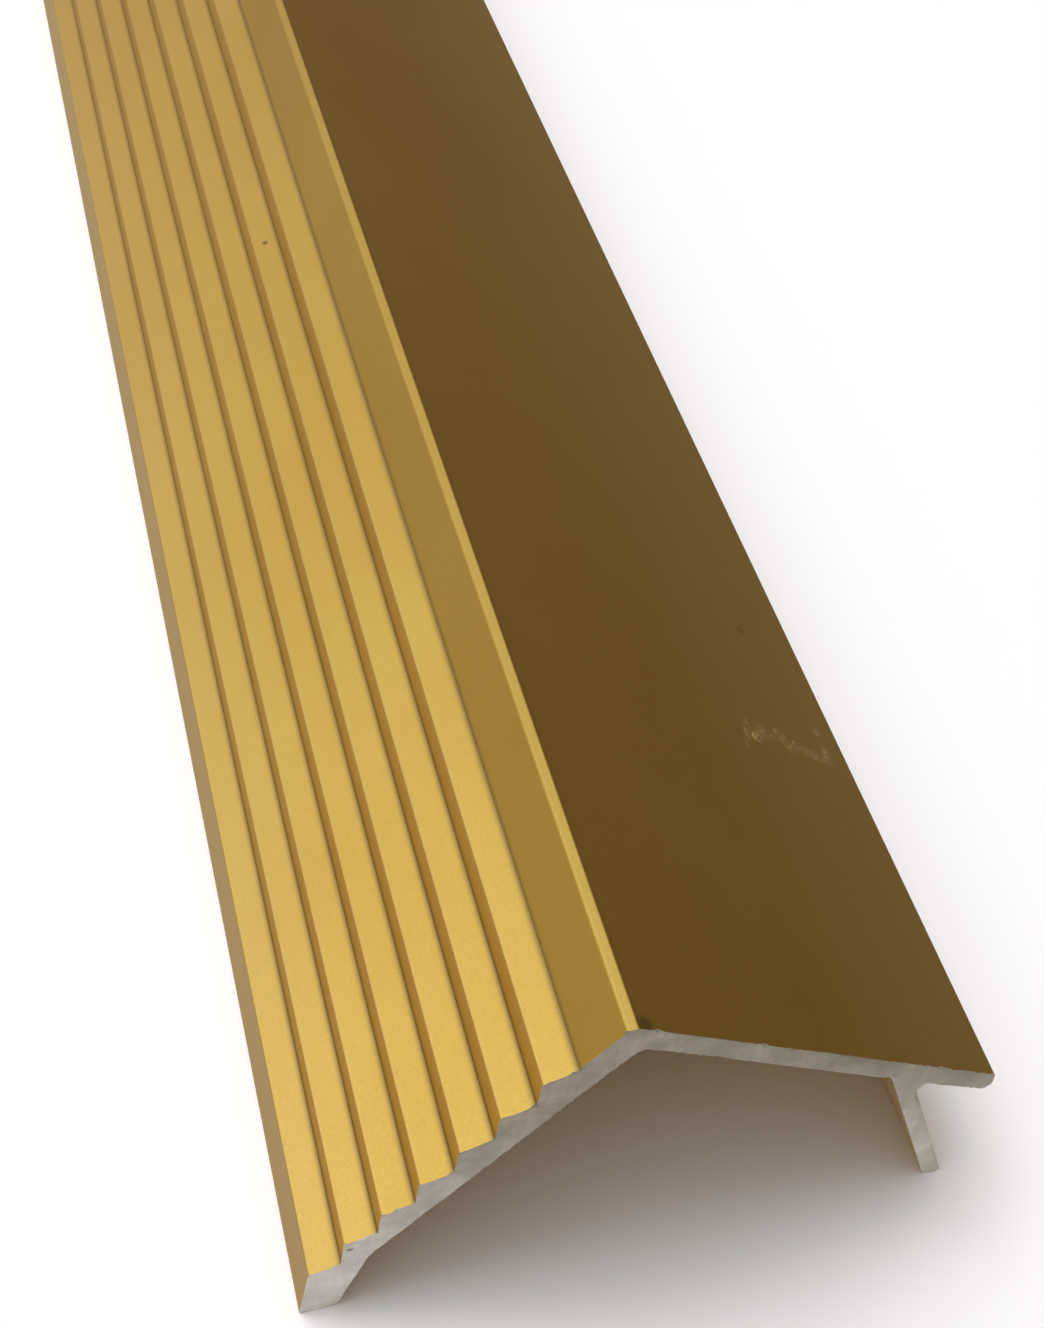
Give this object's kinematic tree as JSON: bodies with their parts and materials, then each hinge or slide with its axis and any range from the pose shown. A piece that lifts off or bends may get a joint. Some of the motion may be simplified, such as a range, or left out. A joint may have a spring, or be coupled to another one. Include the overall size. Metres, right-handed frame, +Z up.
{
  "type": "threshold strip",
  "caption": "Aluminium threshold strip: a stepped ramp and a smooth flange meet at a narrow ridge on two feet, with foam strips inside that bond it to the floor.",
  "frame": {"origin": "middle of the strip's width and length, on the floor plane that both feet stand on", "axes": "+X across the strip from the toe of the ribbed ramp to the lip of the smooth flange, +Y along the strip away from the sawn end that the picture shows, +Z up from the floor"},
  "size_m": [0.035, 0.9, 0.0222],
  "materials": {
    "gold_anodised_aluminium": "satin gold anodising, bare metal on the sawn ends",
    "grey_foam": "closed-cell foam, matt",
    "liner_paper": "silicone-coated paper, smooth"
  },
  "bodies": {
    "root": {"extruded_profile": "gold_anodised_aluminium", "toe_mounting_strip": "grey_foam", "leg_mounting_strip": "grey_foam", "toe_release_liner": "liner_paper", "leg_release_liner": "liner_paper"}
  },
  "joints": []
}
